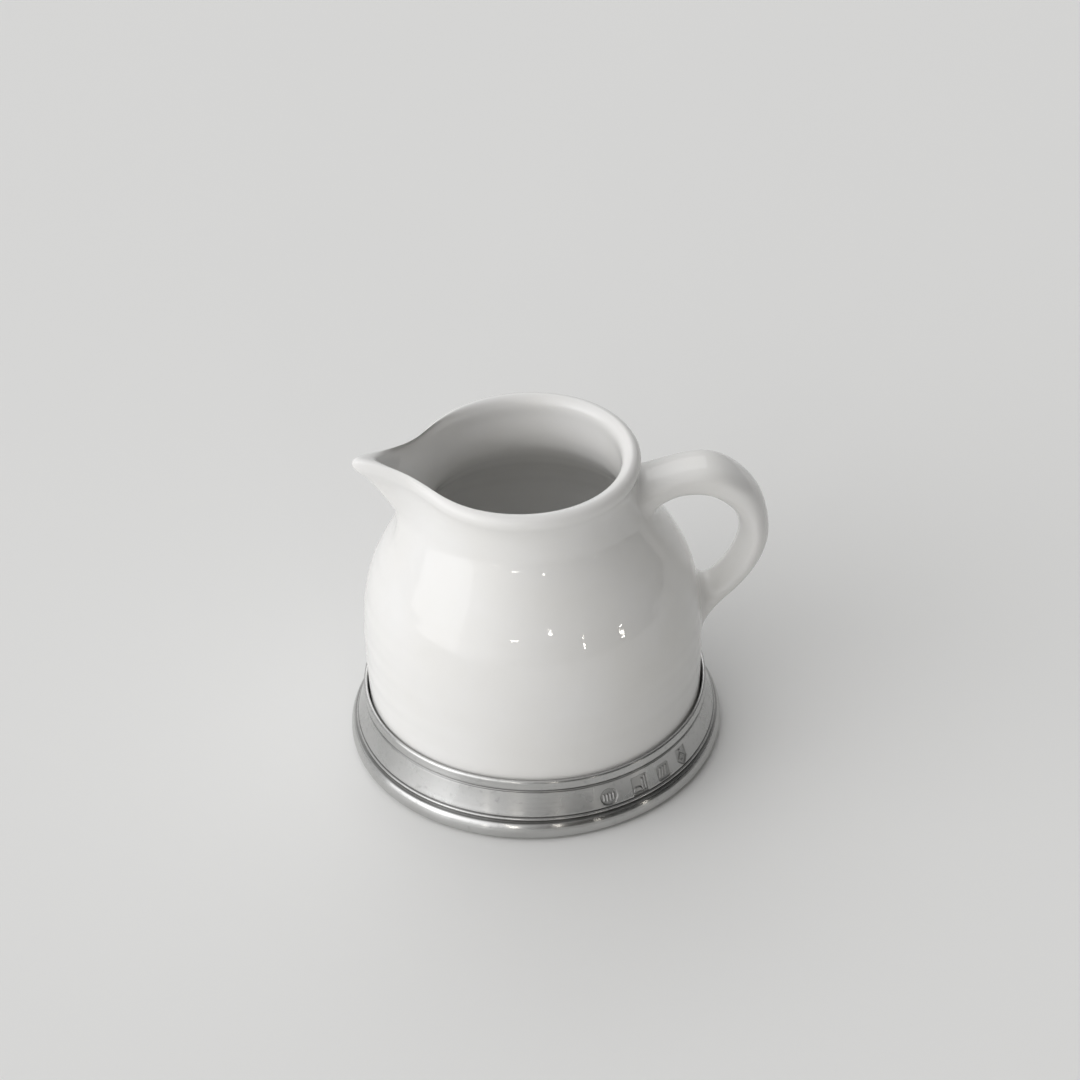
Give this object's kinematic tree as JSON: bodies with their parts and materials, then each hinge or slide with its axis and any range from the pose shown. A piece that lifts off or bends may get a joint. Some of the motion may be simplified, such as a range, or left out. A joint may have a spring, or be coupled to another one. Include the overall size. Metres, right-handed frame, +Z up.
{
  "type": "porcelain cream jug",
  "caption": "Small pouring jug of glazed ceramic with a pinched spout and a strap handle, bedded in a turned pewter foot ring.",
  "frame": {"origin": "centre of the foot ring's underside, on the plane the jug stands on", "axes": "+Z up along the pot's axis, +X towards the handle, -X towards the spout"},
  "size_m": [0.0987, 0.087, 0.0818],
  "materials": {
    "glaze": "gloss",
    "slip": "satin",
    "pewter": "satin",
    "bedding": "matte"
  },
  "bodies": {
    "root": {"jug_body": "glaze", "handle": "glaze", "upper_slip_joint": "slip", "lower_slip_joint": "slip", "foot_ring": "pewter", "bedding_ring": "bedding"}
  },
  "joints": []
}
